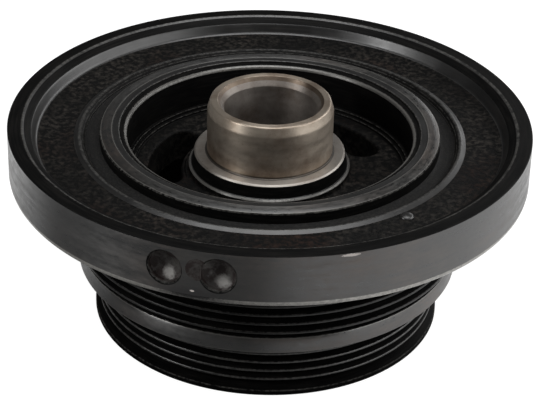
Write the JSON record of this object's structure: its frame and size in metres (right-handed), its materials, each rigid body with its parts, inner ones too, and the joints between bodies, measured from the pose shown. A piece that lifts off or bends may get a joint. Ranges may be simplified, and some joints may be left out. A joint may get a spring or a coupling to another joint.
{
  "type": "crankshaft pulley",
  "caption": "Crankshaft pulley with poly-V belt grooves in two diameters, a rubber-mounted inertia ring and a machined sleeve on the engine side.",
  "frame": {"origin": "on the shaft axis, in the front face that the pulley stands on", "axes": "+Z along the shaft towards the engine, out of the sleeve's end; +X to the right in the picture"},
  "size_m": [0.1904, 0.1904, 0.085],
  "materials": {
    "hub": "black coated casting with a bare machined sleeve, collar and bore",
    "inertia_ring": "black coated casting, turned on its side and rim",
    "rubber_ring": "matt black rubber"
  },
  "bodies": {
    "root": {"hub": "hub", "inertia_ring": "inertia_ring", "rubber_ring": "rubber_ring"}
  },
  "joints": []
}
